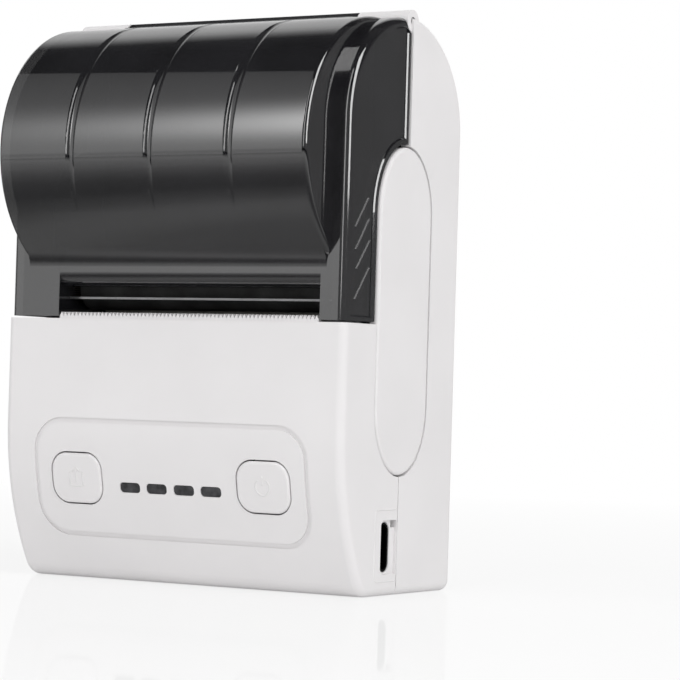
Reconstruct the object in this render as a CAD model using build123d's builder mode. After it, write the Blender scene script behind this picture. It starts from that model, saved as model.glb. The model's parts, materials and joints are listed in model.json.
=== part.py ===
from build123d import *
from math import asin, cos, degrees, radians, sin, sqrt
import os

# Portable thermal printer for 58 mm paper, standing on its lower end. Millimetres.
# X runs across the printer, -Y is its front, +Z points up along its longest side.
# The origin is the middle of the whole footprint, on the surface that it stands on.

os.makedirs("parts", exist_ok=True)

# Whole body
body_width = 75.4
body_depth = 41.5
bulge_overhang = 9.1
front_y = (bulge_overhang - body_depth) / 2
rear_y = front_y + body_depth
half_width = body_width / 2
seam_depth = 20.7
hinge_seam_depth = 21.5
seam_step_z = 60.0
top_radius = body_depth / 2
shoulder_z = 86.0
chin_radius = 56.0
toe_radius = 4.5
chin_z = 30.0
foot_edge_radius = 2.0
corner_radius = 1.6
wall = 2.0
front_shell_top = 49.4
seam_groove = 0.3

# Hinged cover and its roll bulge
cover_bottom = 49.8
cover_inset = 0.5
cover_half_width = 37.4
cover_wall = 1.6
cover_gap = 0.2
bulge_radius = 24.9
bulge_depth = 15.8
bulge_z = 81.0
bulge_half_length = 34.2
bulge_edge_radius = 1.0
rib_places = (-17.5, 0.0, 17.5)
rib_depth = 0.4
rib_half_width = 1.2
lip_z = 58.1
lip_radius = 2.6
hinge_depth = 22.0
hinge_z = 105.8
hinge_ear_radius = 2.1
hinge_barrel_radius = 2.05
hinge_barrel_half = 25.9
hinge_pin_radius = 0.8
fit = 0.05
press_gap = 0.02
through = 1.0

# Paper path: its width is set by the roll, and it lies a little right of the middle
paper_low_x = -26.0
paper_high_x = 32.0
tooth_pitch = 0.86
tooth_height = 0.8
tear_bar_depth = 0.6
tear_bar_thickness = 1.0
tear_bar_side_gap = 0.2
tear_bar_sink = 1.0
tray_radius = 21.9
tray_wall = 1.0
cheek = 1.5

# Platen, print head and gear train
platen_depth = 10.4
platen_z = 55.6
platen_radius = 4.2
platen_shaft_radius = 1.5
bush_radius = 3.0
roller_end_gap = 0.5
paper_gap = 0.3
gear_module = 0.5
platen_teeth = 20
idler_teeth = 26
pinion_teeth = 10
train_angle = -13.0
gear_low_x = -32.4
gear_high_x = -29.6
motor_radius = 6.2
motor_high_x = -13.5
pin_radius = 0.75
sheet = 1.0

# Release keys in the sides
key_depth = 20.7
key_z = 52.15
key_width = 18.8
key_height = 60.3
key_end_rise = 12.7
key_gap = 0.3
key_inner_x = 36.1
key_outer_x = 37.85
key_pivot_x = 34.6
key_pivot_z = 27.0

# Control panel
panel_z = 19.5
panel_width = 61.2
panel_height = 22.4
panel_corner = 6.5
button_x = 20.85
button_z = 19.35
button_width = 11.3
button_height = 9.4
button_corner = 3.3
button_gap = 0.25
button_rise = 0.3
button_travel = 0.4
window_places = (-8.8, -2.8, 3.3, 9.3)
window_z = 18.0
window_width = 4.6
window_height = 1.9
window_corner = 0.75
window_gap = 0.05

# Electronics
board_depth = 14.4
board_thickness = 1.0
port_depth = 17.1
port_z = 8.9
port_height = 8.94
port_thickness = 3.3
lower_screw_x = 32.4
lower_screw_z = 17.5
upper_screw_x = 22.0
upper_screw_z = 66.0
screw_radius = 0.9
screw_head_radius = 1.9
screw_head_height = 1.5
screw_hole_gap = 0.25
screw_head_gap = 0.2


def y_at(depth):
    """The Y of a place that lies this far behind the front face."""
    return front_y + depth


def facing_front(depth):
    """A plane that faces the front, this far behind the front face."""
    return Plane.XZ.offset(-y_at(depth))


def span(xs, depths, zs, mode=Mode.ADD):
    """A box between two places on each axis, with Y given as depth behind the front."""
    centre = (sum(xs) / 2, y_at(sum(depths) / 2), sum(zs) / 2)
    with Locations(centre):
        Box(xs[1] - xs[0], depths[1] - depths[0], zs[1] - zs[0], mode=mode)


def rod_across(radius, xs, depth, z, mode=Mode.ADD):
    """A cylinder along X."""
    with Locations(Location((sum(xs) / 2, y_at(depth), z), (0, 90, 0))):
        Cylinder(radius, xs[1] - xs[0], mode=mode)


def rod_inward(radius, depths, x, z, mode=Mode.ADD):
    """A cylinder along Y."""
    with Locations(Location((x, y_at(sum(depths) / 2), z), (90, 0, 0))):
        Cylinder(radius, depths[1] - depths[0], mode=mode)


def side_outline(inset=0.0):
    """The body's outline seen from the side, drawn in all round by inset."""
    chin_angle = degrees(asin((chin_z - inset) / (chin_radius - inset)))
    edge = max(foot_edge_radius - inset, fit)
    with BuildSketch(Plane.YZ) as outline:
        with BuildLine():
            chin = CenterArc((y_at(chin_radius), chin_z), chin_radius - inset, 180, chin_angle)
            heel = CenterArc((rear_y - inset - edge, inset + edge), edge, 270, 90)
            crown = CenterArc((y_at(top_radius), shoulder_z), top_radius - inset, 0, 180)
            Line(chin @ 1, heel @ 0)
            Line(heel @ 1, crown @ 0)
            Line(crown @ 1, chin @ 0)
            toe = chin @ 1
        make_face()
        fillet(outline.vertices().sort_by_distance(toe)[0], max(toe_radius - inset, fit))
    return outline.sketch


def body_block(inset, block_half_width, edge_radius=0.0):
    """The side outline as a solid, with rounded front, top and rear edges."""
    with BuildPart() as block:
        extrude(side_outline(inset), amount=block_half_width, both=True)
        if edge_radius:
            fillet(block.faces().filter_by(Axis.X).edges(), edge_radius)
    return block.part


def bulge_block(radius, block_half_length, edge_radius=0.0):
    """The round bulge over the paper roll."""
    with BuildPart() as block:
        rod_across(radius, (-block_half_length, block_half_length), bulge_depth, bulge_z)
        if edge_radius:
            fillet(block.edges().filter_by(GeomType.CIRCLE), edge_radius)
    return block.part


def key_outline(grow=0.0):
    """A release key seen from the side: straight edges and elliptical ends."""
    straight = key_height / 2 - key_end_rise
    reach, rise = key_width / 2 + grow, key_end_rise + grow
    with BuildSketch(Plane.YZ) as outline:
        with BuildLine():
            upper = EllipticalCenterArc((y_at(key_depth), key_z + straight), reach, rise,
                                        start_angle=0, arc_size=180)
            lower = EllipticalCenterArc((y_at(key_depth), key_z - straight), reach, rise,
                                        start_angle=180, arc_size=180)
            Line(upper @ 1, lower @ 0)
            Line(lower @ 1, upper @ 0)
        make_face()
    return outline.sketch


def gear(teeth, centre, first_tooth, bore):
    """A spur gear about X; centre is its depth and height, first_tooth an angle in degrees."""
    pitch_radius = gear_module * teeth / 2
    root = pitch_radius - 1.2 * gear_module
    tip = pitch_radius + gear_module
    root_half, tip_half = 0.9 * gear_module, 0.34 * gear_module
    tooth = ((root * 0.9, -root_half), (tip, -tip_half), (tip, tip_half), (root * 0.9, root_half))
    with BuildPart() as wheel:
        with BuildSketch(Plane.YZ.offset(gear_low_x)):
            with Locations((y_at(centre[0]), centre[1])):
                Circle(root)
                with PolarLocations(0, teeth, start_angle=first_tooth):
                    Polygon(*tooth, align=None)
                Circle(bore, mode=Mode.SUBTRACT)
        extrude(amount=gear_high_x - gear_low_x)
    return wheel.part


def coil_spring(radius, wire, depths, x, z, turns):
    """A compression spring along Y."""
    length = depths[1] - depths[0]
    with BuildPart() as spring:
        with BuildLine() as path:
            Helix(length / turns, length, radius, center=(x, y_at(depths[0]), z), direction=(0, 1, 0))
        with BuildSketch(Plane(path.line @ 0, z_dir=path.line % 0)):
            Circle(wire)
        sweep(is_frenet=True)
    return spring.part


def finish(piece, name):
    """Names a finished piece and writes it."""
    piece.part.label = name
    export_step(piece.part, f"parts/{name}.step")


outer_block = body_block(0.0, half_width, corner_radius)
inner_block = body_block(wall, half_width - wall)
seam_plane = facing_front(seam_depth)
key_opening = key_outline(key_gap)

with BuildPart() as seam_ring:
    add(outer_block)
    add(body_block(seam_groove, half_width - seam_groove), mode=Mode.SUBTRACT)
    split(bisect_by=facing_front(seam_depth + seam_groove / 2), keep=Keep.TOP)
    split(bisect_by=facing_front(seam_depth - seam_groove / 2), keep=Keep.BOTTOM)
shell_seam = seam_ring.part


# Front shell: panel, button and window holes, port opening, screw bosses
panel_groove = 0.35
panel_groove_width = 0.9
panel_hole_depth = 10.0
with BuildPart() as panel_ring:
    with BuildSketch(facing_front(-through)):
        with Locations((0, panel_z)):
            RectangleRounded(panel_width, panel_height, panel_corner)
            RectangleRounded(
                panel_width - 2 * panel_groove_width,
                panel_height - 2 * panel_groove_width,
                panel_corner - panel_groove_width,
                mode=Mode.SUBTRACT,
            )
    extrude(amount=-chin_radius / 2)
    add(body_block(panel_groove, half_width), mode=Mode.SUBTRACT)
panel_line = panel_ring.part

button_places = ((-button_x, button_z), (button_x, button_z))
port_recess_depth = 0.7
port_recess_half = 4.95
port_recess_front = 2.3
port_recess_corner = 1.2
port_hole_gap = 0.15
port_notch = 1.4
front_boss_radius = 2.5
front_boss_start = 2.8
screw_bore = 0.95
screw_tip_depth = 13.0
ledge_height = 1.0
ledge_reach = 1.2
guide_thickness = 1.8
guide_low_z = front_shell_top - guide_thickness

with BuildPart() as front_shell:
    add(outer_block)
    add(inner_block, mode=Mode.SUBTRACT)
    split(bisect_by=seam_plane, keep=Keep.TOP)
    split(bisect_by=Plane.XY.offset(front_shell_top), keep=Keep.BOTTOM)
    extrude(key_opening, amount=half_width + through, both=True, mode=Mode.SUBTRACT)
    add(shell_seam, mode=Mode.SUBTRACT)
    add(panel_line, mode=Mode.SUBTRACT)
    with BuildSketch(facing_front(-through)):
        with Locations(*button_places):
            RectangleRounded(button_width + 2 * button_gap, button_height + 2 * button_gap,
                             button_corner + button_gap)
        with Locations(*[(x, window_z) for x in window_places]):
            RectangleRounded(window_width, window_height, window_corner)
    extrude(amount=-panel_hole_depth, mode=Mode.SUBTRACT)
    # Port opening and the shallow recess that runs from it to the seam
    with BuildSketch(Plane.YZ.offset(half_width)):
        with Locations((y_at(port_depth), port_z)):
            port_hole = (port_height + 2 * port_hole_gap, port_thickness + 2 * port_hole_gap)
            SlotOverall(*port_hole, rotation=90)
    extrude(amount=-2 * wall, mode=Mode.SUBTRACT)
    with BuildSketch(Plane.YZ.offset(half_width)):
        with Locations((y_at(seam_depth), port_z)):
            recess_length = 2 * (seam_depth - port_depth + port_recess_front)
            RectangleRounded(recess_length, 2 * port_recess_half, port_recess_corner)
    extrude(amount=-port_recess_depth, mode=Mode.SUBTRACT)
    notch_top = port_z + port_recess_half
    span((half_width - wall - through, half_width + through), (seam_depth - port_notch, seam_depth + through),
         (notch_top - port_notch, notch_top), mode=Mode.SUBTRACT)
    # Slot that holds the tear bar
    span((paper_low_x - tear_bar_side_gap, paper_high_x + tear_bar_side_gap),
         (tear_bar_depth, tear_bar_depth + tear_bar_thickness),
         (front_shell_top - tear_bar_sink, front_shell_top + through), mode=Mode.SUBTRACT)
    # Ledge under the exit guide
    span((-half_width + wall, half_width - wall), (wall, wall + ledge_reach),
         (guide_low_z - ledge_height, guide_low_z))
    for x in (-lower_screw_x, lower_screw_x):
        rod_inward(front_boss_radius, (front_boss_start, seam_depth), x, lower_screw_z)
        rod_inward(screw_bore, (screw_tip_depth, seam_depth), x, lower_screw_z, mode=Mode.SUBTRACT)
finish(front_shell, "front_shell")


# Rear shell: hinge ears, key arms, deep screw bosses
arm_low_x, arm_high_x = 32.0, 33.2
arm_height = 5.2
lug_inner_depths = (14.0, 15.6)
lug_outer_depths = (26.4, 28.0)
ear_low_x = hinge_barrel_half + 0.35
ear_high_x = half_width - 0.5
barrel_notch_gap = 0.45
lug_end_gap = 0.1
boss_start_gap = 1.0
rear_boss_radius = 3.0
lower_head_depth = 24.0
upper_boss_depth = 37.5

with BuildPart() as rear_shell:
    add(outer_block)
    add(inner_block, mode=Mode.SUBTRACT)
    split(bisect_by=seam_plane, keep=Keep.BOTTOM)
    # Beside the cover, the seam lies a little further back; the step is behind the keys
    span((-body_width, body_width), (0, hinge_seam_depth), (seam_step_z, 2 * shoulder_z), mode=Mode.SUBTRACT)
    extrude(key_opening, amount=half_width + through, both=True, mode=Mode.SUBTRACT)
    add(shell_seam, mode=Mode.SUBTRACT)
    notch_half = hinge_barrel_half + barrel_notch_gap
    rod_across(hinge_barrel_radius + barrel_notch_gap, (-notch_half, notch_half),
               hinge_depth, hinge_z, mode=Mode.SUBTRACT)
    span((-notch_half, notch_half), (seam_depth - through, hinge_depth),
         (hinge_z - hinge_barrel_radius - barrel_notch_gap, hinge_z + 2 * hinge_barrel_radius),
         mode=Mode.SUBTRACT)
    for side in (-1, 1):
        ear = sorted((side * ear_low_x, side * ear_high_x))
        rod_across(hinge_ear_radius, ear, hinge_depth, hinge_z)
        rod_across(hinge_pin_radius, ear, hinge_depth, hinge_z, mode=Mode.SUBTRACT)
        # Arm with two lugs that carries a release key's pivot pin
        arm = sorted((side * arm_low_x, side * arm_high_x))
        lug = sorted((side * arm_low_x, side * (half_width - wall - lug_end_gap)))
        arm_z = (key_pivot_z - arm_height / 2, key_pivot_z + arm_height / 2)
        span(arm, (lug_inner_depths[0], body_depth - wall), arm_z)
        for depths in (lug_inner_depths, lug_outer_depths):
            span(lug, depths, arm_z)
            rod_inward(pin_radius, depths, side * key_pivot_x, key_pivot_z, mode=Mode.SUBTRACT)
        # Screw bosses, each with a deep hole for the screw's head
        lower, upper = (side * lower_screw_x, lower_screw_z), (side * upper_screw_x, upper_screw_z)
        rod_inward(rear_boss_radius, (seam_depth, body_depth - boss_start_gap), *lower)
        rod_inward(rear_boss_radius, (upper_boss_depth, body_depth - boss_start_gap), *upper)
        hole, head_hole = screw_radius + screw_hole_gap, screw_head_radius + screw_head_gap
        rod_inward(hole, (seam_depth, body_depth), *lower, mode=Mode.SUBTRACT)
        rod_inward(hole, (upper_boss_depth, body_depth), *upper, mode=Mode.SUBTRACT)
        rod_inward(head_hole, (lower_head_depth, body_depth + through), *lower, mode=Mode.SUBTRACT)
        rod_inward(head_hole, (body_depth - wall, body_depth + through), *upper, mode=Mode.SUBTRACT)
finish(rear_shell, "rear_shell")


# Exit guide that closes the front shell behind the tear bar
guide_rear_depth = 14.2
guide_side_gap = 0.8
guide_half_length = half_width - wall - guide_side_gap
guide_edge_radius = 0.4
with BuildPart() as exit_guide:
    span((-guide_half_length, guide_half_length), (wall, guide_rear_depth), (guide_low_z, front_shell_top))
    fillet(exit_guide.edges().filter_by(Axis.X).sort_by(Axis.Z)[-1], guide_edge_radius)
finish(exit_guide, "exit_guide")


# Tear bar with its row of teeth
with BuildPart() as tear_bar:
    tooth_count = int((paper_high_x - paper_low_x) / tooth_pitch)
    bar_low, bar_high = front_shell_top - tear_bar_sink, cover_bottom
    tear_low_x = (paper_low_x + paper_high_x - tooth_count * tooth_pitch) / 2
    saw = [(tear_low_x, bar_low), (tear_low_x, bar_high)]
    for i in range(tooth_count):
        left = tear_low_x + i * tooth_pitch
        saw.append((left + tooth_pitch / 2, bar_high + tooth_height))
        saw.append((left + tooth_pitch, bar_high))
    saw.append((tear_low_x + tooth_count * tooth_pitch, bar_low))
    with BuildSketch(facing_front(tear_bar_depth)):
        with BuildLine():
            Polyline(*saw, close=True)
        make_face()
    extrude(amount=-tear_bar_thickness)
finish(tear_bar, "tear_bar")


# Paper tray: the rear half of the roll chamber
tray_outer = tray_radius + tray_wall
tray_low_gap = 0.2
tray_end_wall = 1.2
tray_low_x, tray_high_x = paper_low_x - tray_low_gap - tray_end_wall, paper_high_x + tray_end_wall
tray_front_depth = 15.2
tray_low_z, tray_top_z = 60.2, 102.0
tray_floor_depths = (19.4, 27.3)
tray_boss_radius = 2.6
tray_boss_depth = 33.0
tray_bore_depth = 34.2
with BuildPart() as paper_tray:
    rod_across(tray_outer, (tray_low_x, tray_high_x), bulge_depth, bulge_z)
    rod_across(tray_radius, (paper_low_x - tray_low_gap, paper_high_x), bulge_depth, bulge_z,
               mode=Mode.SUBTRACT)
    span((tray_low_x, tray_high_x), (tray_front_depth, body_depth), (tray_low_z, tray_top_z),
         mode=Mode.INTERSECT)
    span((tray_low_x, tray_high_x), tray_floor_depths, (tray_low_z, tray_low_z + tray_wall))
    for x in (-upper_screw_x, upper_screw_x):
        rod_inward(tray_boss_radius, (tray_boss_depth, upper_boss_depth), x, upper_screw_z)
        rod_inward(screw_bore, (tray_bore_depth, upper_boss_depth), x, upper_screw_z, mode=Mode.SUBTRACT)
finish(paper_tray, "paper_tray")


# Print mechanism frame in sheet steel
train = (cos(radians(train_angle)), sin(radians(train_angle)))
platen_to_idler = gear_module * (platen_teeth + idler_teeth) / 2
idler_to_motor = gear_module * (idler_teeth + pinion_teeth) / 2
platen_centre = (platen_depth, platen_z)
idler_centre = tuple(p + platen_to_idler * t for p, t in zip(platen_centre, train))
motor_centre = tuple(p + idler_to_motor * t for p, t in zip(idler_centre, train))
left_plate = (-29.0, -28.0)
right_plate = (33.9, 34.9)
frame_zs = (44.2, 60.0)
frame_floor_depths = (14.9, 26.0)
spring_wall_depths = (25.0, 26.0)
spring_wall_low_x = -12.0
spring_wall_top_z = 57.0
left_plate_rear, right_plate_rear = 34.5, 25.0
cable_slot_xs, cable_slot_depths = (-1.0, 15.0), (15.6, 18.6)
motor_hole_radius = 1.3
head_pivot_depth, head_pivot_z = 17.2, 48.6
head_pivot_radius = 1.0
with BuildPart() as mechanism_frame:
    span(left_plate, (guide_rear_depth, left_plate_rear), frame_zs)
    span(right_plate, (guide_rear_depth, right_plate_rear), frame_zs)
    span((left_plate[0], right_plate[1]), frame_floor_depths, (frame_zs[0], frame_zs[0] + sheet))
    span((spring_wall_low_x, right_plate[1]), spring_wall_depths, (frame_zs[0], spring_wall_top_z))
    # Slot for the flat cable, holes for pivots, idler pin and motor shaft
    span(cable_slot_xs, cable_slot_depths, (frame_zs[0] - through, frame_zs[0] + 2 * sheet),
         mode=Mode.SUBTRACT)
    for plate in (left_plate, right_plate):
        rod_across(head_pivot_radius + fit, plate, head_pivot_depth, head_pivot_z, mode=Mode.SUBTRACT)
    rod_across(pin_radius, left_plate, *idler_centre, mode=Mode.SUBTRACT)
    rod_across(motor_hole_radius, left_plate, *motor_centre, mode=Mode.SUBTRACT)
finish(mechanism_frame, "mechanism_frame")


# Stepper motor with its flange, and the screws that hold it
flange_reach = 8.4
flange_end = 1.9
flange_thickness = 0.8
can_edge_radius = 0.8
motor_shaft_radius = 0.7
shaft_reach, shaft_bore_reach = 7.8, 8.0
motor_screw_head_radius, motor_screw_head_height = 1.4, 0.9
flange_xs = (left_plate[1], left_plate[1] + flange_thickness)
motor_screw_places = [(motor_centre[0], motor_centre[1] + end * flange_reach) for end in (-1, 1)]
with BuildPart() as stepper_motor:
    rod_across(motor_radius, (left_plate[1], motor_high_x), *motor_centre)
    with BuildSketch(Plane.YZ.offset(left_plate[1])):
        with Locations((y_at(motor_centre[0]), motor_centre[1])):
            SlotOverall(2 * (flange_reach + flange_end), 2 * flange_end, rotation=90)
    extrude(amount=flange_thickness)
    fillet(stepper_motor.edges().filter_by(GeomType.CIRCLE).sort_by(Axis.X)[-1], can_edge_radius)
    rod_across(motor_shaft_radius + fit, (left_plate[1], left_plate[1] + shaft_bore_reach), *motor_centre,
               mode=Mode.SUBTRACT)
    for place in motor_screw_places:
        rod_across(pin_radius, flange_xs, *place, mode=Mode.SUBTRACT)
finish(stepper_motor, "stepper_motor")

with BuildPart() as motor_screws:
    for place in motor_screw_places:
        rod_across(pin_radius, flange_xs, *place)
        rod_across(motor_screw_head_radius, (flange_xs[1], flange_xs[1] + motor_screw_head_height), *place)
finish(motor_screws, "motor_screws")


# Gears: platen gear, idler and motor pinion, in mesh along one line
idler_tooth = train_angle + 180 + 180 / idler_teeth
pin_end = gear_low_x - 0.2
pin_head_height = 0.5
with BuildPart() as platen_gear:
    add(gear(platen_teeth, platen_centre, train_angle, platen_shaft_radius + press_gap))
finish(platen_gear, "platen_gear")

with BuildPart() as idler_gear:
    add(gear(idler_teeth, idler_centre, idler_tooth, pin_radius + fit))
finish(idler_gear, "idler_gear")

with BuildPart() as motor_pinion:
    add(gear(pinion_teeth, motor_centre, train_angle + 180, motor_shaft_radius + press_gap))
finish(motor_pinion, "motor_pinion")

with BuildPart() as motor_shaft:
    rod_across(motor_shaft_radius, (pin_end, left_plate[1] + shaft_reach), *motor_centre)
finish(motor_shaft, "motor_shaft")

with BuildPart() as idler_pin:
    rod_across(pin_radius, (pin_end, left_plate[1]), *idler_centre)
    rod_across(2 * pin_radius, (pin_end - pin_head_height, pin_end), *idler_centre)
finish(idler_pin, "idler_pin")


# Print head on its pivoting heat sink
head_face_depth = platen_depth + platen_radius + paper_gap
head_margin = 0.5
head_low_x, head_high_x = paper_low_x + head_margin, paper_high_x - head_margin
head_thickness, sink_thickness = 1.0, 2.4
head_edge_radius = 0.3
head_zs = (50.0, 60.0)
sink_zs = (47.4, 59.6)
sink_depths = (head_face_depth + head_thickness, head_face_depth + head_thickness + sink_thickness)
fin_count = 14
fin_gap_half, fin_depth, fin_rise = 0.6, 1.2, 8.0
sink_pivot_gap = 0.1
with BuildPart() as print_head:
    span((head_low_x, head_high_x), (head_face_depth, sink_depths[0]), head_zs)
    fillet(print_head.edges().filter_by(Axis.X).group_by(Axis.Y)[0], head_edge_radius)
finish(print_head, "print_head")

with BuildPart() as head_heat_sink:
    span((head_low_x, head_high_x), sink_depths, sink_zs)
    fin_pitch = (head_high_x - head_low_x) / fin_count
    for i in range(1, fin_count):
        x = head_low_x + i * fin_pitch
        span((x - fin_gap_half, x + fin_gap_half), (sink_depths[1] - fin_depth, sink_depths[1]),
             (sink_zs[0] + fin_rise, sink_zs[1]), mode=Mode.SUBTRACT)
    pivots = ((left_plate[0] + sink_pivot_gap, head_low_x), (head_high_x, right_plate[1] - sink_pivot_gap))
    for ends in pivots:
        rod_across(head_pivot_radius, ends, head_pivot_depth, head_pivot_z)
finish(head_heat_sink, "head_heat_sink")

# Two springs press the heat sink, and with it the head, towards the platen
spring_radius, spring_wire, spring_turns = 1.6, 0.25, 5
spring_clearance = 0.55
spring_places = (-6.0, 22.0)
spring_z = 53.6
spring_depths = (sink_depths[1] + spring_clearance, spring_wall_depths[0] - spring_wire)
with BuildPart() as head_springs:
    for x in spring_places:
        add(coil_spring(spring_radius, spring_wire, spring_depths, x, spring_z, spring_turns))
finish(head_springs, "head_springs")


# Platen roller, its steel shaft, and the bushes that carry it in the cover
left_cheek = (paper_low_x - cheek, paper_low_x)
right_cheek = (paper_high_x, paper_high_x + cheek)
roller_edge_radius = 0.3
shaft_chamfer = 0.2
shaft_low_x, shaft_high_x = gear_low_x - 0.4, right_cheek[1] - 0.1
bush_reach = 0.3
with BuildPart() as platen_roller:
    rod_across(platen_radius, (paper_low_x + roller_end_gap, paper_high_x - roller_end_gap), *platen_centre)
    rod_across(platen_shaft_radius, (paper_low_x, paper_high_x), *platen_centre, mode=Mode.SUBTRACT)
    fillet(platen_roller.edges().filter_by(GeomType.CIRCLE).group_by(SortBy.RADIUS)[-1], roller_edge_radius)
finish(platen_roller, "platen_roller")

with BuildPart() as platen_shaft:
    rod_across(platen_shaft_radius, (shaft_low_x, shaft_high_x), *platen_centre)
    chamfer(platen_shaft.edges().filter_by(GeomType.CIRCLE), shaft_chamfer)
finish(platen_shaft, "platen_shaft")

with BuildPart() as platen_bushes:
    for xs in ((left_cheek[0] - bush_reach, left_cheek[1]), right_cheek):
        rod_across(bush_radius, xs, *platen_centre)
        rod_across(platen_shaft_radius + fit, xs, *platen_centre, mode=Mode.SUBTRACT)
finish(platen_bushes, "platen_bushes")


# Cover: smoked shell with the roll bulge, two legs, a rolled lip and a hinge barrel
cover_block = body_block(cover_inset, cover_half_width, corner_radius)
cover_inside = body_block(cover_inset + cover_wall, cover_half_width - cover_wall)
bulge_outside = bulge_block(bulge_radius, bulge_half_length, bulge_edge_radius)
bulge_inside = bulge_block(bulge_radius - cover_wall, bulge_half_length - cover_wall)
cover_key_opening = key_outline(2 * key_gap)
cheek_rear_depth = 14.3
cheek_top_z = 68.0
ear_gap = 0.4
side_rim = 2.0
side_recess = 0.3
side_slope = 0.24
rear_rim = 1.2
grip_lines = ((3.9, 53.5, 8.9, 59.6), (4.2, 59.0, 8.9, 64.5), (3.9, 62.5, 8.5, 68.4), (3.6, 66.5, 8.1, 72.2))
grip_width = 0.24
grip_rise = 0.2
strip_z = 53.6
throat_radius = 4.5
cheek_front_gap = 0.3
web_depth, web_low, web_high = 1.9, 0.8, 1.0

with BuildSketch(Plane.YZ) as side_field:
    add(Plane.YZ.to_local_coords(side_outline(cover_inset + side_rim)))
    field_depths = (0.0, hinge_seam_depth - cover_gap - rear_rim)
    with Locations((y_at(sum(field_depths) / 2), (cover_bottom + hinge_z) / 2 + through)):
        Rectangle(field_depths[1] - field_depths[0], hinge_z - cover_bottom, mode=Mode.INTERSECT)
    add(Plane.YZ.to_local_coords(key_outline(2 * key_gap + rear_rim)), mode=Mode.SUBTRACT)
field = side_field.sketch

# The lip curls in under the front wall
lip_centre = (y_at(cover_inset + lip_radius), lip_z)
with BuildSketch(Plane.YZ) as lip_section:
    with BuildLine():
        lip_outer = CenterArc(lip_centre, lip_radius, 180, 90)
        lip_inner = CenterArc(lip_centre, lip_radius - cover_wall, 180, 90)
        Line(lip_outer @ 0, lip_inner @ 0)
        Line(lip_outer @ 1, lip_inner @ 1)
    make_face()
lip_profile = lip_section.sketch

# Hollow curve that leads from the underside of the bulge into the front wall
throat_run = bulge_depth - cover_inset + throat_radius
throat_drop = sqrt((bulge_radius + throat_radius)**2 - throat_run**2)
throat_centre = Vector(y_at(cover_inset - throat_radius), bulge_z - throat_drop)
with BuildSketch(Plane.YZ) as throat_section:
    with BuildLine():
        throat_angle = degrees(asin(throat_drop / (bulge_radius + throat_radius)))
        throat = CenterArc(throat_centre, throat_radius, 0, throat_angle)
        corner = Vector(y_at(cover_inset + cover_wall / 2), throat_centre.Y)
        Line(throat @ 0, corner)
        Line(corner, (corner.X, (throat @ 1).Y))
        Line((corner.X, (throat @ 1).Y), throat @ 1)
    make_face()
throat_profile = throat_section.sketch

# Shallow round grooves across the bulge, cut by rings that leave its surface at both ends
rib_middle = 32.0
rib_reach = 66.0
rib_round = (rib_half_width**2 + rib_depth**2) / (2 * rib_depth)
with BuildPart() as rib_rings:
    low = radians(rib_reach - rib_middle)
    outward = Vector(0, -cos(radians(rib_middle)), sin(radians(rib_middle)))
    ring_centre = Vector(0, y_at(bulge_depth), bulge_z) - outward * 2 * rib_depth
    with BuildSketch(Plane(ring_centre, x_dir=(1, 0, 0), z_dir=(0, sin(low), -cos(low)))):
        with Locations(*[(x, bulge_radius + rib_round + rib_depth) for x in rib_places]):
            Circle(rib_round)
    revolve(axis=Axis(ring_centre, (-1, 0, 0)), revolution_arc=2 * rib_reach)
rib_grooves = rib_rings.part

with BuildPart() as cover:
    add(cover_block)
    split(bisect_by=facing_front(hinge_seam_depth - cover_gap), keep=Keep.TOP)
    split(bisect_by=Plane.XY.offset(cover_bottom), keep=Keep.TOP)
    add(bulge_outside)
    throat_half = bulge_half_length - bulge_edge_radius
    extrude(Location((-throat_half, 0, 0)) * throat_profile, amount=2 * throat_half)
    split(bisect_by=facing_front(hinge_seam_depth - cover_gap), keep=Keep.TOP)
    add(cover_inside, mode=Mode.SUBTRACT)
    add(bulge_inside, mode=Mode.SUBTRACT)
    extrude(cover_key_opening, amount=half_width, both=True, mode=Mode.SUBTRACT)
    add(rib_grooves, mode=Mode.SUBTRACT)
    # Mouth between the legs, the lip above it and a cheek on each side of it
    span((left_cheek[1], right_cheek[0]), (-through, cover_inset + cover_wall + through / 2),
         (cover_bottom - through, lip_z), mode=Mode.SUBTRACT)
    extrude(Location((left_cheek[1], 0, 0)) * lip_profile, amount=right_cheek[0] - left_cheek[1])
    for xs in (left_cheek, right_cheek):
        span(xs, (cover_inset + cheek_front_gap, cheek_rear_depth), (cover_bottom, cheek_top_z))
        rod_across(bush_radius, xs, *platen_centre, mode=Mode.SUBTRACT)
    # Hinge barrel and its web
    barrel = (-hinge_barrel_half, hinge_barrel_half)
    rod_across(hinge_barrel_radius, barrel, hinge_depth, hinge_z)
    span(barrel, (seam_depth - web_depth, hinge_depth), (hinge_z - web_low, hinge_z + web_high))
    rod_across(hinge_pin_radius + fit, barrel, hinge_depth, hinge_z, mode=Mode.SUBTRACT)
    for side in (-1, 1):
        ear_space = sorted((side * hinge_barrel_half, side * (half_width + through)))
        rod_across(hinge_ear_radius + ear_gap, ear_space, hinge_depth, hinge_z, mode=Mode.SUBTRACT)
    # Sunk side field with a sloped border, and fine raised grip lines on it
    for side in (-1, 1):
        face_x = side * cover_half_width
        extrude(Location((face_x, 0, 0)) * field, amount=-side * side_recess, mode=Mode.SUBTRACT)
        border = [Vector(face_x, edge.center().Y, edge.center().Z) for edge in field.edges()]
        rim = [edge for edge in cover.edges()
               if min((edge.center() - place).length for place in border) < fit]
        chamfer(rim, side_slope)
        with BuildSketch(Plane.YZ.offset(side * (cover_half_width - 2 * side_recess))):
            for y0, z0, y1, z1 in grip_lines:
                middle = (y_at((y0 + y1) / 2), (z0 + z1) / 2)
                run = Vector(y1 - y0, z1 - z0)
                with Locations(middle):
                    SlotOverall(run.length, grip_width, rotation=degrees(asin(run.Y / run.length)))
        extrude(amount=side * (side_recess + grip_rise))
finish(cover, "cover")

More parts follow.
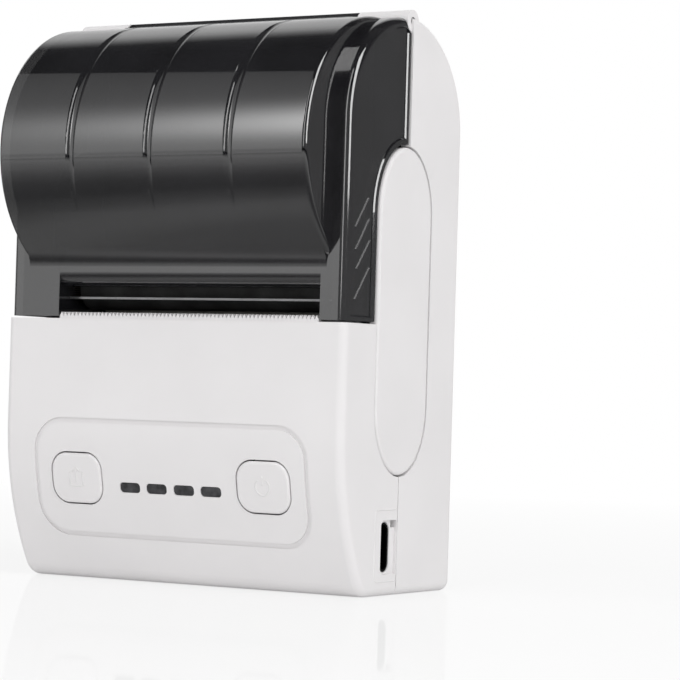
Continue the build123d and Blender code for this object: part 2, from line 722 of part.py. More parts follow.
# Thin steel strip under the lip, in front of the platen
strip_depths, strip_height = (3.9, 5.8), 0.4
with BuildPart() as guide_strip:
    span((left_cheek[1], right_cheek[0]), strip_depths, (strip_z - strip_height, strip_z))
finish(guide_strip, "guide_strip")

hinge_pin_reach, hinge_pin_sink = 6.0, 0.05
with BuildPart() as hinge_pins:
    for side in (-1, 1):
        ends = (side * (hinge_barrel_half - hinge_pin_reach), side * (ear_high_x - hinge_pin_sink))
        rod_across(hinge_pin_radius, sorted(ends), hinge_depth, hinge_z)
finish(hinge_pins, "hinge_pins")

sensor_xs, sensor_depths, sensor_height, sensor_edge_radius = (1.0, 6.0), (21.0, 24.0), 1.2, 0.4
with BuildPart() as paper_sensor:
    tray_floor_z = tray_low_z + tray_wall
    span(sensor_xs, sensor_depths, (tray_floor_z, tray_floor_z + sensor_height))
    fillet(paper_sensor.edges().filter_by(Axis.X).group_by(Axis.Z)[-1], sensor_edge_radius)
finish(paper_sensor, "paper_sensor")


# Release keys: plates in the sides that rock inwards about a pin near the lower end
key_face_radius = 0.7
key_barrel_radius = 1.25
key_barrel_depths = (16.0, 26.0)
key_rib_half, key_rib_root = 1.0, 0.5
key_plate = key_outline()
for side, name in ((1, "release_key_right"), (-1, "release_key_left")):
    with BuildPart() as release_key:
        extrude(Location((key_inner_x, 0, 0)) * key_plate, amount=key_outer_x - key_inner_x)
        fillet(release_key.faces().sort_by(Axis.X)[-1].edges(), key_face_radius)
        span((key_pivot_x, key_inner_x + key_rib_root), key_barrel_depths,
             (key_pivot_z - key_rib_half, key_pivot_z + key_rib_half))
        rod_inward(key_barrel_radius, key_barrel_depths, key_pivot_x, key_pivot_z)
        rod_inward(pin_radius + fit, key_barrel_depths, key_pivot_x, key_pivot_z, mode=Mode.SUBTRACT)
        if side < 0:
            mirror(about=Plane.YZ, mode=Mode.REPLACE)
    finish(release_key, name)

with BuildPart() as release_key_pins:
    for side in (-1, 1):
        rod_inward(pin_radius, (lug_inner_depths[0], lug_outer_depths[1]), side * key_pivot_x, key_pivot_z)
finish(release_key_pins, "release_key_pins")


# Buttons with their stems, indicator windows and light guide
flange_depths = (6.0, 6.8)
stem_radius = 1.6
switch_plunger_depth = 10.2
button_edge_radius = 0.5
flange_grow, flange_corner_grow = 2.0, 1.0
button_skin = body_block(-button_rise, half_width)
for x, name in ((-button_x, "feed_button"), (button_x, "power_button")):
    with BuildPart() as button:
        with BuildSketch(facing_front(-through)):
            with Locations((x, button_z)):
                RectangleRounded(button_width, button_height, button_corner)
        extrude(amount=-(flange_depths[1] + through))
        add(button_skin, mode=Mode.INTERSECT)
        fillet(button.faces().sort_by(Axis.Y)[0].edges(), button_edge_radius)
        with BuildSketch(facing_front(flange_depths[0])):
            with Locations((x, button_z)):
                RectangleRounded(button_width + flange_grow, button_height + flange_grow,
                                 button_corner + flange_corner_grow)
        extrude(amount=-(flange_depths[1] - flange_depths[0]))
        rod_inward(stem_radius, (flange_depths[1], switch_plunger_depth), x, button_z)
    finish(button, name)

window_sink = 0.2
window_rear_depth = 6.0
window_skin = body_block(window_sink, half_width)
with BuildPart() as indicator_windows:
    with BuildSketch(facing_front(-through)):
        with Locations(*[(x, window_z) for x in window_places]):
            RectangleRounded(window_width - 2 * window_gap, window_height - 2 * window_gap,
                             window_corner - window_gap)
    extrude(amount=-(window_rear_depth + through))
    add(window_skin, mode=Mode.INTERSECT)
finish(indicator_windows, "indicator_windows")

led_height, led_half_width, led_half_length = 0.8, 0.8, 1.5
led_depth = board_depth - led_height
guide_bar_margin, guide_bar_half, guide_bar_depth = 2.6, 1.6, 1.5
guide_leg_half = 1.2
with BuildPart() as light_guide:
    bar_rear = window_rear_depth + guide_bar_depth
    span((window_places[0] - guide_bar_margin, window_places[-1] + guide_bar_margin),
         (window_rear_depth, bar_rear), (window_z - guide_bar_half, window_z + guide_bar_half))
    for x in window_places:
        span((x - guide_leg_half, x + guide_leg_half), (bar_rear, led_depth),
             (window_z - led_half_width, window_z + led_half_width))
finish(light_guide, "light_guide")

with BuildPart() as indicator_leds:
    for x in window_places:
        span((x - led_half_length, x + led_half_length), (led_depth, board_depth),
             (window_z - led_half_width, window_z + led_half_width))
finish(indicator_leds, "indicator_leds")


# Main board with its parts
board_rear = board_depth + board_thickness
board_low_half, board_high_half = 34.0, 31.0
board_low_z, board_step_z, board_top_z = 4.0, 22.0, 44.0
board_hole_gap = 0.2
with BuildPart() as main_board:
    depths = (board_depth, board_rear)
    span((-board_low_half, board_low_half), depths, (board_low_z, board_step_z))
    span((-board_high_half, board_high_half), depths, (board_step_z, board_top_z))
    for side in (-1, 1):
        rod_inward(front_boss_radius + board_hole_gap, depths, side * lower_screw_x, lower_screw_z,
                   mode=Mode.SUBTRACT)
finish(main_board, "main_board")

socket_start_x, socket_sheet, socket_back = 29.7, 0.35, 1.0
socket_end_gap = 0.1
with BuildPart() as usb_socket:
    with BuildSketch(Plane.YZ.offset(socket_start_x)):
        with Locations((y_at(port_depth), port_z)):
            SlotOverall(port_height, port_thickness, rotation=90)
            SlotOverall(port_height - 2 * socket_sheet, port_thickness - 2 * socket_sheet, rotation=90,
                        mode=Mode.SUBTRACT)
    extrude(amount=half_width - port_recess_depth - socket_end_gap - socket_start_x)
    with BuildSketch(Plane.YZ.offset(socket_start_x)):
        with Locations((y_at(port_depth), port_z)):
            SlotOverall(port_height, port_thickness, rotation=90)
    extrude(amount=socket_back)
finish(usb_socket, "usb_socket")

tongue_end_x, tongue_half_thickness, tongue_half_width, tongue_corner = 36.2, 0.35, 3.3, 0.6
with BuildPart() as usb_tongue:
    span((socket_start_x + socket_back, tongue_end_x),
         (port_depth - tongue_half_thickness, port_depth + tongue_half_thickness),
         (port_z - tongue_half_width, port_z + tongue_half_width))
    fillet(usb_tongue.edges().filter_by(Axis.Y).group_by(Axis.X)[-1], tongue_corner)
finish(usb_tongue, "usb_tongue")

switch_half, switch_body_depth = 3.0, 11.1
plunger_radius = 1.4
plunger_end_depth = 12.5
for x, name in ((-button_x, "feed_switch"), (button_x, "power_switch")):
    with BuildPart() as switch:
        span((x - switch_half, x + switch_half), (switch_body_depth, board_depth),
             (button_z - switch_half, button_z + switch_half))
        rod_inward(plunger_radius + 2 * fit, (switch_body_depth, plunger_end_depth + 2 * button_travel), x,
                   button_z, mode=Mode.SUBTRACT)
    finish(switch, name)
    with BuildPart() as plunger:
        rod_inward(plunger_radius, (switch_plunger_depth, plunger_end_depth), x, button_z)
    finish(plunger, name + "_plunger")

chip_height, chip_chamfer = 1.0, 0.2
with BuildPart() as processor_chip:
    span((-3.0, 7.0), (board_rear, board_rear + chip_height), (24.0, 34.0))
    chamfer(processor_chip.edges().group_by(Axis.Y)[-1], chip_chamfer)
finish(processor_chip, "processor_chip")

shield_height, shield_edge_radius = 2.2, 0.4
with BuildPart() as wireless_module:
    span((12.0, 28.0), (board_rear, board_rear + shield_height), (24.0, 41.0))
    fillet(wireless_module.edges().group_by(Axis.Y)[-1], shield_edge_radius)
finish(wireless_module, "wireless_module")

buzzer_radius, buzzer_height, buzzer_hole_radius, buzzer_hole_depth = 4.5, 3.5, 0.8, 1.5
buzzer_place = (-21.0, 34.0)
with BuildPart() as buzzer:
    buzzer_rear = board_rear + buzzer_height
    rod_inward(buzzer_radius, (board_rear, buzzer_rear), *buzzer_place)
    rod_inward(buzzer_hole_radius, (buzzer_rear - buzzer_hole_depth, buzzer_rear), *buzzer_place,
               mode=Mode.SUBTRACT)
finish(buzzer, "buzzer")

plug_height, plug_edge_radius = 4.0, 0.5
with BuildPart() as battery_connector:
    span((-14.0, -7.0), (board_rear, board_rear + plug_height), (8.0, 13.0))
    fillet(battery_connector.edges().filter_by(Axis.Y), plug_edge_radius)
finish(battery_connector, "battery_connector")

cable_plug_height = 1.6
with BuildPart() as head_connector:
    span((-1.0, 11.0), (board_rear, board_rear + cable_plug_height), (36.5, 41.4))
finish(head_connector, "head_connector")

# The flat cable rises from its connector through the slot in the mechanism frame
cable_depths = (16.3, 16.5)
with BuildPart() as head_cable:
    span((0.0, 10.0), cable_depths, (41.4, 47.2))
finish(head_cable, "head_cable")

battery_half_width, battery_front_depth, battery_top_z, battery_edge_radius = 29.0, 27.5, 40.0, 3.0
with BuildPart() as battery_pack:
    span((-battery_half_width, battery_half_width), (battery_front_depth, body_depth - wall),
         (2 * wall, battery_top_z))
    fillet(battery_pack.edges().filter_by(Axis.X), battery_edge_radius)
finish(battery_pack, "battery_pack")


# Housing screws with a cross recess in each head
cross_length, cross_width, cross_depth = 2.4, 0.5, 0.7
lower_tip_gap, upper_tip_depth, upper_head_end = 0.5, 34.5, 0.5
with BuildPart() as housing_screws:
    for side in (-1, 1):
        lower, upper = (side * lower_screw_x, lower_screw_z), (side * upper_screw_x, upper_screw_z)
        lower_end, upper_end = lower_head_depth + screw_head_height, body_depth - upper_head_end
        rod_inward(screw_radius, (screw_tip_depth + lower_tip_gap, lower_head_depth), *lower)
        rod_inward(screw_head_radius, (lower_head_depth, lower_end), *lower)
        rod_inward(screw_radius, (upper_tip_depth, body_depth - wall), *upper)
        rod_inward(screw_head_radius, (body_depth - wall, upper_end), *upper)
        for (x, z), end in ((lower, lower_end), (upper, upper_end)):
            for half_x, half_z in ((cross_length / 2, cross_width / 2), (cross_width / 2, cross_length / 2)):
                span((x - half_x, x + half_x), (end - cross_depth, end + through), (z - half_z, z + half_z),
                     mode=Mode.SUBTRACT)
finish(housing_screws, "housing_screws")
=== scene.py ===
import json
from math import cos, radians, sin

import bpy
from mathutils import Matrix, Vector
from mathutils.bvhtree import BVHTree


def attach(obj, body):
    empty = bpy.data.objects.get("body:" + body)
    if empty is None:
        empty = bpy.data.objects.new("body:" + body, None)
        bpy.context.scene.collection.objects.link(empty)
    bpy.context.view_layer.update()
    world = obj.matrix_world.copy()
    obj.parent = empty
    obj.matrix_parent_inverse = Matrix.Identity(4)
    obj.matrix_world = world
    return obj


# Looks of the portable thermal printer: materials, small raised marks, light and camera.
# Everything is in metres, in the frame of the CAD part, but for the sizes of noises and the
# depths of bumps, which are in millimetres.

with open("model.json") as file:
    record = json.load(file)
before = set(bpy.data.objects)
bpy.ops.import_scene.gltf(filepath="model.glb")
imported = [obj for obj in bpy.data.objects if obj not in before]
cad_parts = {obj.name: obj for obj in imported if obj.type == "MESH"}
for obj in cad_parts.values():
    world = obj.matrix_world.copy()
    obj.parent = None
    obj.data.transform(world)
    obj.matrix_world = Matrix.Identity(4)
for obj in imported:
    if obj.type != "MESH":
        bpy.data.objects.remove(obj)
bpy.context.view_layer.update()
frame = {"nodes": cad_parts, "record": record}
nodes = frame["nodes"]
mm = 0.001
white = (1.0, 1.0, 1.0, 1.0)


# Node trees

class Tree:
    """A node tree, with short ways to add nodes and links."""

    def __init__(self, tree):
        self.nodes = tree.nodes
        self.links = tree.links

    def fill(self, socket, value):
        """Links an output to the socket, or gives the socket a plain value."""
        if isinstance(value, bpy.types.NodeSocket):
            self.links.new(value, socket)
        else:
            socket.default_value = value

    def add(self, kind, *inputs, **values):
        """A new node: inputs fill its sockets in order, values the sockets or settings they name."""
        node = self.nodes.new("ShaderNode" + kind)
        for key, value in values.items():
            socket = node.inputs.get(key.replace("_", " "))
            if socket is None:
                setattr(node, key, value)
            else:
                self.fill(socket, value)
        for socket, value in zip(node.inputs, inputs):
            self.fill(socket, value)
        return node

    def math(self, operation, *inputs):
        return self.add("Math", *inputs, operation=operation).outputs["Value"]

    def vector_math(self, operation, *inputs):
        """An operation on vectors that gives a number."""
        return self.add("VectorMath", *inputs, operation=operation).outputs["Value"]

    def parts(self, vector):
        """The outputs X, Y and Z of a vector."""
        return self.add("SeparateXYZ", vector).outputs

    def carry(self, value, **ranges):
        """Carries a value from one range to another; each is 0 to 1 unless given."""
        return self.add("MapRange", Value=value, **ranges).outputs["Result"]

    def glow(self, colour):
        return self.add("Emission", Color=colour, Strength=1.0).outputs["Emission"]

    def mix_shaders(self, factor, off, on):
        return self.add("MixShader", factor, off, on).outputs["Shader"]


# The part of a noise's values over which a colour and a roughness drift
colour_from, colour_to = 0.35, 0.65
roughness_from, roughness_to = 0.3, 0.7


class Finish(Tree):
    """A material with one Principled shader; sockets sets inputs of the shader by name."""

    def __init__(self, name, colour, **sockets):
        self.material = bpy.data.materials.new(name)
        self.material.use_nodes = True
        super().__init__(self.material.node_tree)
        self.shader = self.nodes["Principled BSDF"]
        self.colour = colour
        self.normal = None
        for socket, value in sockets.items():
            self.drive(socket.replace("_", " "), value)

    def drive(self, socket, value):
        self.fill(self.shader.inputs[socket], value)

    def place(self, stretch=(1.0, 1.0, 1.0)):
        """Object coordinates in millimetres, squeezed by stretch along each axis."""
        place = self.add("TexCoord").outputs["Object"]
        return self.add("Mapping", Vector=place, Scale=[s / mm for s in stretch]).outputs["Vector"]

    def noise(self, size, detail=3.0, stretch=(1.0, 1.0, 1.0)):
        """Noise whose features are about this many millimetres across."""
        texture = self.add("TexNoise", Vector=self.place(stretch), Scale=1.0 / size, Detail=detail)
        return texture.outputs["Fac"]

    def tint(self, amount):
        """The material's colour made paler or darker by a factor."""
        return (*(min(c * amount, 1.0) for c in self.colour), 1.0)

    def drift_colour(self, amount, dark, pale):
        """Lets the base colour drift between two tints."""
        ramp = self.add("ValToRGB", Fac=amount)
        low, high = ramp.color_ramp.elements
        low.position, high.position = colour_from, colour_to
        low.color, high.color = self.tint(dark), self.tint(pale)
        self.drive("Base Color", ramp.outputs["Color"])

    def drift_roughness(self, amount, low, high):
        """Lets the roughness drift between two values."""
        self.drive("Roughness", self.carry(amount, From_Min=roughness_from, From_Max=roughness_to,
                                           To_Min=low, To_Max=high))

    def emboss(self, height, depth):
        """Lays a bump this many millimetres deep over those before it."""
        bump = self.add("Bump", Strength=1.0, Distance=depth * mm, Height=height)
        if self.normal is not None:
            self.fill(bump.inputs["Normal"], self.normal)
        self.normal = bump.outputs["Normal"]
        self.drive("Normal", self.normal)


# Materials, one for each slot of the record

def shell_white():
    finish = Finish("shell_white", colour=(0.80, 0.785, 0.79), Specular_IOR_Level=0.4)
    cloud = finish.noise(size=18.0)
    finish.drift_colour(cloud, dark=0.985, pale=1.01)
    finish.drift_roughness(cloud, low=0.38, high=0.46)
    finish.emboss(finish.noise(size=0.12, detail=2.0), depth=0.004)
    finish.emboss(finish.noise(size=9.0), depth=0.004)
    return finish.material


# The hinge barrel is the part of the cover behind and above these places
barrel_front, barrel_low = 3.6 * mm, 103.4 * mm


def smoke_cover():
    """Smoked clear plastic, glossy but for the dull hinge barrel."""
    finish = Finish("smoke_cover", colour=(0.012, 0.012, 0.014), Alpha=0.86, IOR=2.05)
    cloud = finish.noise(size=14.0)
    finish.drift_colour(cloud, dark=0.8, pale=1.3)
    finish.drift_roughness(cloud, low=0.045, high=0.08)
    finish.emboss(finish.noise(size=11.0, detail=1.0), depth=0.012)
    place = finish.parts(finish.add("TexCoord").outputs["Object"])
    behind = finish.math("GREATER_THAN", place["Y"], barrel_front)
    above = finish.math("GREATER_THAN", place["Z"], barrel_low)
    barrel = finish.math("MULTIPLY", behind, above)
    finish.drive("Specular IOR Level", finish.carry(barrel, To_Min=1.0, To_Max=0.0))
    return finish.material


def black_plastic():
    finish = Finish("black_plastic", colour=(0.03, 0.03, 0.032))
    finish.drift_colour(finish.noise(size=6.0), dark=0.8, pale=1.3)
    finish.drift_roughness(finish.noise(size=3.0), low=0.42, high=0.58)
    finish.emboss(finish.noise(size=0.18, detail=2.0), depth=0.01)
    return finish.material


def dark_window():
    finish = Finish("dark_window", colour=(0.045, 0.045, 0.048), Coat_Weight=0.4)
    cloud = finish.noise(size=1.6)
    finish.drift_colour(cloud, dark=0.7, pale=1.7)
    finish.drift_roughness(cloud, low=0.12, high=0.25)
    finish.emboss(finish.noise(size=0.8), depth=0.01)
    return finish.material


def gear_plastic():
    finish = Finish("gear_plastic", colour=(0.72, 0.72, 0.7), Subsurface_Weight=0.1,
                    Subsurface_Scale=1.0 * mm)
    cloud = finish.noise(size=2.5)
    finish.drift_colour(cloud, dark=0.95, pale=1.03)
    finish.drift_roughness(cloud, low=0.34, high=0.48)
    finish.emboss(finish.noise(size=0.3), depth=0.006)
    return finish.material


def platen_rubber():
    """Rubber with fine grinding marks round the roller."""
    finish = Finish("platen_rubber", colour=(0.025, 0.025, 0.025))
    grinding = finish.noise(size=0.1, detail=4.0, stretch=(1.0, 0.1, 0.1))
    finish.drift_colour(finish.noise(size=5.0), dark=0.8, pale=1.6)
    finish.drift_roughness(grinding, low=0.65, high=0.85)
    finish.emboss(grinding, depth=0.015)
    return finish.material


def head_ceramic():
    finish = Finish("head_ceramic", colour=(0.35, 0.33, 0.3), Coat_Weight=0.3)
    cloud = finish.noise(size=2.0, stretch=(0.1, 1.0, 1.0))
    finish.drift_colour(cloud, dark=0.9, pale=1.1)
    finish.drift_roughness(cloud, low=0.15, high=0.3)
    finish.emboss(finish.noise(size=0.4), depth=0.004)
    return finish.material


def board():
    """Green solder mask with paler tracks under it."""
    finish = Finish("board", colour=(0.02, 0.12, 0.05), Coat_Weight=0.5)
    tracks = finish.add("TexBrick", Vector=finish.place(), Color1=finish.tint(1.0),
                        Color2=finish.tint(1.15), Mortar=finish.tint(1.9), Scale=0.55,
                        Mortar_Size=0.06, Mortar_Smooth=0.2, offset=0.37, squash=0.6).outputs
    finish.drive("Base Color", tracks["Color"])
    finish.drift_roughness(finish.noise(size=3.0), low=0.25, high=0.36)
    finish.emboss(tracks["Fac"], depth=0.03)
    finish.emboss(finish.noise(size=0.4), depth=0.006)
    return finish.material


def connector_white():
    finish = Finish("connector_white", colour=(0.75, 0.74, 0.7))
    cloud = finish.noise(size=1.5)
    finish.drift_colour(cloud, dark=0.94, pale=1.03)
    finish.drift_roughness(cloud, low=0.36, high=0.5)
    finish.emboss(finish.noise(size=0.2), depth=0.006)
    return finish.material


def flat_cable():
    """Amber film over a row of copper tracks."""
    finish = Finish("flat_cable", colour=(0.45, 0.22, 0.06), Coat_Weight=0.4)
    tracks = finish.add("TexWave", Vector=finish.place(), Scale=0.7, Distortion=0.0,
                        bands_direction="X").outputs["Fac"]
    finish.drift_colour(tracks, dark=0.7, pale=1.25)
    finish.drift_roughness(finish.noise(size=2.0), low=0.22, high=0.36)
    finish.emboss(tracks, depth=0.02)
    return finish.material


def battery_wrap():
    """Shrink film with soft wrinkles."""
    finish = Finish("battery_wrap", colour=(0.08, 0.16, 0.32), Coat_Weight=0.3)
    wrinkles = finish.noise(size=3.0, detail=4.0, stretch=(0.3, 1.0, 1.0))
    finish.drift_colour(wrinkles, dark=0.88, pale=1.12)
    finish.drift_roughness(wrinkles, low=0.2, high=0.34)
    finish.emboss(wrinkles, depth=0.12)
    return finish.material


def bare_metal(name, colour, low, high, stretch):
    """Metal with fine scratches, which run along the axis of the small stretch."""
    finish = Finish(name, colour, Metallic=1.0)
    scratches = finish.noise(size=0.12, detail=4.0, stretch=stretch)
    finish.drift_colour(finish.noise(size=4.0), dark=0.88, pale=1.08)
    finish.drift_roughness(scratches, low, high)
    finish.emboss(scratches, depth=0.002)
    return finish.material


bare_metals = {
    "steel": dict(colour=(0.46, 0.46, 0.47), low=0.22, high=0.38, stretch=(0.04, 1.0, 1.0)),
    "motor_can": dict(colour=(0.5, 0.5, 0.51), low=0.25, high=0.45, stretch=(0.05, 1.0, 1.0)),
    "shield_can": dict(colour=(0.62, 0.62, 0.63), low=0.28, high=0.42, stretch=(1.0, 1.0, 0.05)),
    "port_metal": dict(colour=(0.06, 0.06, 0.062), low=0.16, high=0.28, stretch=(0.1, 1.0, 1.0)),
    "bush_brass": dict(colour=(0.6, 0.45, 0.22), low=0.25, high=0.4, stretch=(0.08, 1.0, 1.0)),
    "heat_sink": dict(colour=(0.64, 0.64, 0.65), low=0.32, high=0.5, stretch=(1.0, 1.0, 0.06)),
}

makers = (shell_white, smoke_cover, black_plastic, dark_window, gear_plastic, platen_rubber, head_ceramic,
          board, connector_white, flat_cable, battery_wrap)
materials = {maker.__name__: maker() for maker in makers}
materials |= {name: bare_metal(name, **looks) for name, looks in bare_metals.items()}

for part in frame["record"]["subparts"]:
    slots = nodes[part["node"]].data.materials
    slots.clear()
    slots.append(materials[part["material_slot"]])


# Raised marks

stroke_half = 0.16 * mm
stroke_step = 0.35 * mm
# A stroke whose ends are nearer than this is closed
closing_gap = stroke_step / 10
# Height of a stroke's middle and shoulders over the surface, and depth of its skirt below it
mark_rise = 0.07 * mm
mark_shoulder = 0.6 * mark_rise
mark_skirt = 0.3 * mm
skirt_reach = 1.5
# Across a stroke: how far out, in halves of its width, and how high
profile = ((-skirt_reach, -mark_skirt), (-1.0, mark_shoulder), (0.0, mark_rise), (1.0, mark_shoulder),
           (skirt_reach, -mark_skirt))
# Rays that find the surface start this far from the middle of the part
ray_start = 60 * mm


def on_front(u, v):
    """A place in front of the part, and the way from it to the part."""
    return Vector((u, -ray_start, v)), Vector((0, 1, 0))


def on_right_side(u, v):
    """A place to the right of the part, and the way from it to the part."""
    return Vector((ray_start, u, v)), Vector((-1, 0, 0))


def short_steps(points):
    """The points of a polyline, with others between them, a short step apart."""
    path = [Vector(points[0])]
    for start, end in zip(points, points[1:]):
        run = Vector(end) - Vector(start)
        steps = max(1, round(run.length / stroke_step))
        path += [Vector(start) + run * i / steps for i in range(1, steps + 1)]
    return path


def arc_points(centre, radius, start, sweep, steps):
    """Points along an arc; angles in degrees, from the right, turning upwards."""
    angles = [radians(start + sweep * i / steps) for i in range(steps + 1)]
    return [(centre[0] + radius * cos(a), centre[1] + radius * sin(a)) for a in angles]


def stroke_verts(path, closed, side, tree):
    """The profile at each point of the path, laid on the surface that the tree holds."""
    verts = []
    for i, here in enumerate(path):
        before = path[i - 1] if closed or i else here
        after = path[(i + 1) % len(path)] if closed or i < len(path) - 1 else here
        along = (after - before).normalized()
        across = Vector((-along.y, along.x))
        for offset, rise in profile:
            flat = here + across * offset * stroke_half
            start, push = side(flat.x, flat.y)
            verts.append(tree.ray_cast(start, push)[0] - push * rise)
    return verts


def stroke_faces(first, count, closed):
    """Faces between the profiles of a stroke that starts at vertex first, with ends if it is open."""
    width = len(profile)
    faces = []
    for i in range(count if closed else count - 1):
        row, following = first + i * width, first + (i + 1) % count * width
        for k in range(width - 1):
            faces.append((row + k, following + k, following + k + 1, row + k + 1))
    if not closed:
        faces.append(tuple(first + k for k in range(width)))
        faces.append(tuple(first + (count - 1) * width + k for k in reversed(range(width))))
    return faces


def raised_marks(name, strokes, surface, side, body):
    """Low ridges along the strokes, laid on an object from one side."""
    tree = BVHTree.FromObject(surface, bpy.context.evaluated_depsgraph_get())
    verts, faces = [], []
    for points in strokes:
        path = short_steps(points)
        closed = (path[0] - path[-1]).length < closing_gap
        if closed:
            path.pop()
        faces += stroke_faces(len(verts), len(path), closed)
        verts += stroke_verts(path, closed, side, tree)
    mesh = bpy.data.meshes.new(name)
    mesh.from_pydata(verts, [], faces)
    mesh.materials.append(materials["shell_white"])
    mesh.shade_smooth()
    marks = bpy.data.objects.new(name, mesh)
    bpy.context.scene.collection.objects.link(marks)
    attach(marks, body)


# Middle of the right button; the left one mirrors it
button_x = 20.85 * mm
button_z = 19.35 * mm
# Marks on the buttons, measured from their middles; the gap in the power ring is in degrees
sheet_half, sheet_low, sheet_high = 1.5 * mm, -1.5 * mm, 1.1 * mm
arrow_top, arrow_half = 2.0 * mm, 0.8 * mm
power_radius = 1.5 * mm
power_gap = 70
power_steps = 40
power_low, power_high = 0.3 * mm, 2.0 * mm


def feed_strokes(x, z):
    """A sheet with an arrow out of it."""
    sheet = [(x - sheet_half, z + sheet_high), (x - sheet_half, z + sheet_low),
             (x + sheet_half, z + sheet_low), (x + sheet_half, z + sheet_high)]
    tip = (x, z + arrow_top)
    barb_z = z + arrow_top - arrow_half
    return [sheet, [(x, z - arrow_half), tip], [(x - arrow_half, barb_z), tip, (x + arrow_half, barb_z)]]


def power_strokes(x, z):
    """A ring with a gap at its top, and a line through the gap."""
    ring = arc_points((x, z), power_radius, start=90 + power_gap / 2, sweep=360 - power_gap,
                      steps=power_steps)
    return [ring, [(x, z + power_low), (x, z + power_high)]]


feed_mark = feed_strokes(-button_x, button_z)
power_mark = power_strokes(button_x, button_z)
raised_marks("feed_mark", feed_mark, nodes["feed_button"], on_front, "feed_button")
raised_marks("power_mark", power_mark, nodes["power_button"], on_front, "power_button")

# Low ridge round the charging port, open towards the seam
ridge_front, ridge_rear = -3.5 * mm, 4.2 * mm
ridge_low, ridge_high = 2.7 * mm, 15.8 * mm
corner = 1.0 * mm
corner_steps = 8


def ridge_corner(z, start):
    """A quarter circle in one of the two front corners of the ridge."""
    return arc_points((ridge_front + corner, z), corner, start, sweep=90, steps=corner_steps)


ridge = [(ridge_rear, ridge_high), *ridge_corner(ridge_high - corner, 90),
         *ridge_corner(ridge_low + corner, 180), (ridge_rear, ridge_low)]
raised_marks("port_ridge", [ridge], nodes["front_shell"], on_right_side, "base")


# Camera, at the photograph's place

camera_yaw, camera_pitch, camera_roll = radians(31.197), radians(-1.019), radians(1.703)
camera_lens, sensor_width = 147.48, 36.0
camera_distance = 530.93 * mm
side_shift = 21.083 * mm
aim_y, aim_z = 3.8 * mm, 46.878 * mm
clip_near, clip_far = 0.01, 100.0

look = Vector((-sin(camera_yaw) * cos(camera_pitch), cos(camera_yaw) * cos(camera_pitch),
               -sin(camera_pitch)))
level_right = Vector((cos(camera_yaw), sin(camera_yaw), 0))
level_up = level_right.cross(look)
right = level_right * cos(camera_roll) + level_up * sin(camera_roll)
up = level_up * cos(camera_roll) - level_right * sin(camera_roll)
aim = Vector((0, aim_y, aim_z)) + level_right * side_shift

camera_data = bpy.data.cameras.new("camera")
camera_data.lens, camera_data.sensor_width = camera_lens, sensor_width
camera_data.clip_start, camera_data.clip_end = clip_near, clip_far
camera = bpy.data.objects.new("camera", camera_data)
bpy.context.scene.collection.objects.link(camera)
turn = Matrix((right, up, -look)).transposed().to_4x4()
camera.matrix_world = Matrix.Translation(aim - look * camera_distance) @ turn
bpy.context.scene.camera = camera


# Floor: white, with a faint mirror image of the object, fading into the white background

floor_half = 20.0
floor_paint = (0.9, 0.9, 0.9, 1.0)
# Between these distances the floor turns from paint to glow and loses its mirror, for the camera
fade_start, fade_end = 0.12, 0.5
# Share of glow near the object and far from it
glow_near, glow_far = 0.75, 1.0
# Share of mirror near the object, and its roughness
floor_mirror = 0.13
mirror_blur = 0.03
# How much of the floor's paint shines by itself where it lights the object
floor_bounce = 0.25
# How bright the floor is in reflections, by distance from the object
reflected_levels = {0.0: 0.16, 0.055: 0.19, 0.075: 0.25, 0.095: 0.25, 0.12: 0.15, 0.16: 0.08,
                    0.22: 0.1, 0.3: 0.17, 0.45: 0.3, 0.95: 0.46, 2.0: 0.0}
reflected_reach = max(reflected_levels)


def reflected_colour(tree, distance):
    """The floor's grey in reflections, from the levels above."""
    ramp = tree.add("ValToRGB", Fac=tree.carry(distance, From_Max=reflected_reach))
    stops = ramp.color_ramp.elements
    for metres in list(reflected_levels)[1:-1]:
        stops.new(metres / reflected_reach)
    for stop, level in zip(stops, reflected_levels.values()):
        stop.color = (level, level, level, 1.0)
    return ramp.outputs["Color"]


def floor_material():
    """Paint that the lamps light and that also glows; reflections see the levels above instead."""
    material = bpy.data.materials.new("floor")
    material.use_nodes = True
    tree = Tree(material.node_tree)
    tree.nodes.clear()
    rays = tree.add("LightPath").outputs
    distance = tree.vector_math("LENGTH", tree.add("TexCoord").outputs["Object"])

    def seen(near, far):
        """Goes from near to far with the distance, for what the camera sees; zero for other rays."""
        fade = tree.carry(distance, From_Min=fade_start, From_Max=fade_end, To_Min=near, To_Max=far)
        return tree.math("MULTIPLY", fade, rays["Is Camera Ray"])

    bounce = tree.math("MULTIPLY", rays["Is Diffuse Ray"], floor_bounce)
    own_light = tree.math("ADD", seen(glow_near, glow_far), bounce)
    paint = tree.add("BsdfDiffuse", Color=floor_paint).outputs["BSDF"]
    lit = tree.mix_shaders(own_light, paint, tree.glow(white))
    shown = tree.mix_shaders(rays["Is Glossy Ray"], lit, tree.glow(reflected_colour(tree, distance)))
    mirror = tree.add("BsdfGlossy", Color=white, Roughness=mirror_blur).outputs["BSDF"]
    tree.add("OutputMaterial", Surface=tree.mix_shaders(seen(floor_mirror, 0.0), shown, mirror))
    return material


corners = [(floor_half * x, floor_half * y, 0) for x, y in ((-1, -1), (1, -1), (1, 1), (-1, 1))]
floor_mesh = bpy.data.meshes.new("floor")
floor_mesh.from_pydata(corners, [], [(0, 1, 2, 3)])
floor_mesh.materials.append(floor_material())
floor = bpy.data.objects.new("floor", floor_mesh)
bpy.context.scene.collection.objects.link(floor)


# Light: an even studio, a white background behind the object, and soft boxes

# How bright the room is, what its walls and its ceiling show in reflections, and where they meet
room_light = 0.62
room_reflection, overhead_reflection = 0.15, 0.025
overhead_edge = (0.3, 0.6)
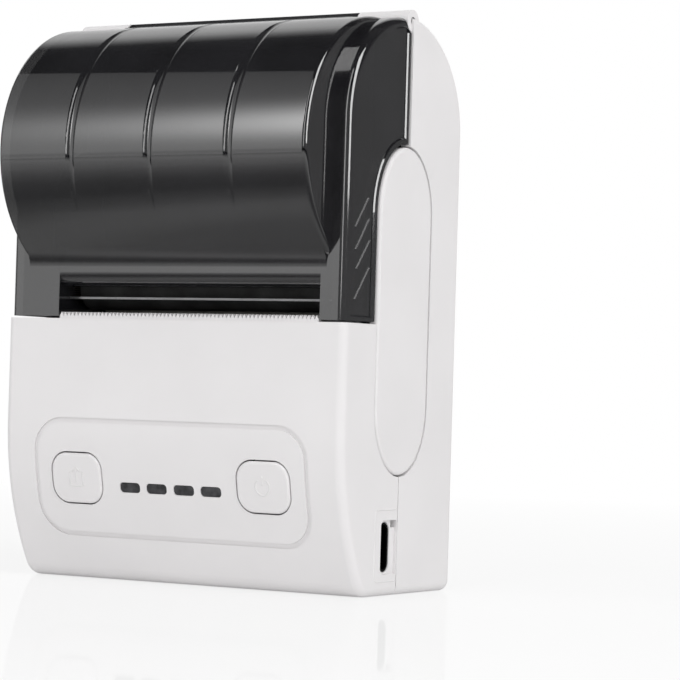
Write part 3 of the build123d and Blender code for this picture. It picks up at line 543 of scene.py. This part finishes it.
# The white wall behind the object, and how straight at it a reflection looks along its edge
background_light = 1.0
background_rise = 0.1
background_edge = (0.62, 0.86)
# Where the soft boxes point
light_aim = Vector((0, 0, 60 * mm))


def studio():
    """Even light from all round; reflections see a dark ceiling and a white wall behind the object."""
    world = bpy.data.worlds.new("studio")
    world.use_nodes = True
    bpy.context.scene.world = world
    tree = Tree(world.node_tree)
    rays = tree.add("LightPath").outputs
    direction = tree.add("TexCoord").outputs["Generated"]

    def across_edge(value, edge, low, high):
        """Goes softly from low to high as the value crosses the edge."""
        return tree.carry(value, interpolation_type="SMOOTHSTEP", From_Min=edge[0], From_Max=edge[1],
                          To_Min=low, To_Max=high)

    def choose(ray, off, on):
        return tree.add("Mix", Factor=rays[ray], A=off, B=on).outputs["Result"]

    room = across_edge(tree.parts(direction)["Z"], overhead_edge, room_reflection, overhead_reflection)
    facing = tree.vector_math("DOT_PRODUCT", direction, (look.x, look.y, background_rise))
    reflected = across_edge(facing, background_edge, room, background_light)
    level = choose("Is Glossy Ray", room_light, reflected)
    level = choose("Is Transmission Ray", level, background_light)
    level = choose("Is Camera Ray", level, background_light)
    background = tree.nodes["Background"]
    tree.fill(background.inputs["Color"], white)
    tree.fill(background.inputs["Strength"], level)


def soft_box(name, azimuth, elevation, distance, width, height, power):
    """A rectangular lamp; azimuth in degrees from the front, positive towards +X."""
    turn, rise = radians(azimuth), radians(elevation)
    towards = Vector((sin(turn) * cos(rise), -cos(turn) * cos(rise), sin(rise)))
    data = bpy.data.lights.new(name, "AREA")
    data.shape, data.size, data.size_y, data.energy = "RECTANGLE", width, height, power
    lamp = bpy.data.objects.new(name, data)
    lamp.location = light_aim + towards * distance
    lamp.rotation_euler = (-towards).to_track_quat("-Z", "Y").to_euler()
    bpy.context.scene.collection.objects.link(lamp)
    return data


def hot_spot(lamp, centre, spread, low_edge, high_edge):
    """Makes a soft box brightest at a place in it, and this dim at its lower and upper edge."""
    lamp.use_nodes = True
    tree = Tree(lamp.node_tree)
    place = tree.add("NewGeometry").outputs["Parametric"]
    away = tree.add("Mapping", Vector=place, Location=[-c / s for c, s in zip(centre, spread)] + [0.0],
                    Scale=[1 / s for s in spread] + [1.0]).outputs["Vector"]
    square = tree.vector_math("DOT_PRODUCT", away, away)
    # A bell curve is the exponent of minus half the square
    bell = tree.math("EXPONENT", tree.math("MULTIPLY", square, -0.5))
    slope = tree.carry(tree.parts(place)["Y"], To_Min=low_edge, To_Max=high_edge)
    tree.fill(tree.nodes["Emission"].inputs["Strength"], tree.math("ADD", bell, slope))


studio()
front_box = soft_box("front_left_box", azimuth=-48, elevation=25, distance=1.3, width=1.04, height=1.44,
                     power=12.7)
hot_spot(front_box, centre=(1.0, 0.472), spread=(0.16, 0.133), low_edge=0.17, high_edge=0.06)
soft_box("front_strip", azimuth=8, elevation=28, distance=1.3, width=0.28, height=1.3, power=1.5)
soft_box("right_box", azimuth=66, elevation=34, distance=1.4, width=0.6, height=1.6, power=9.0)


bpy.context.scene.view_settings.view_transform = "Standard"
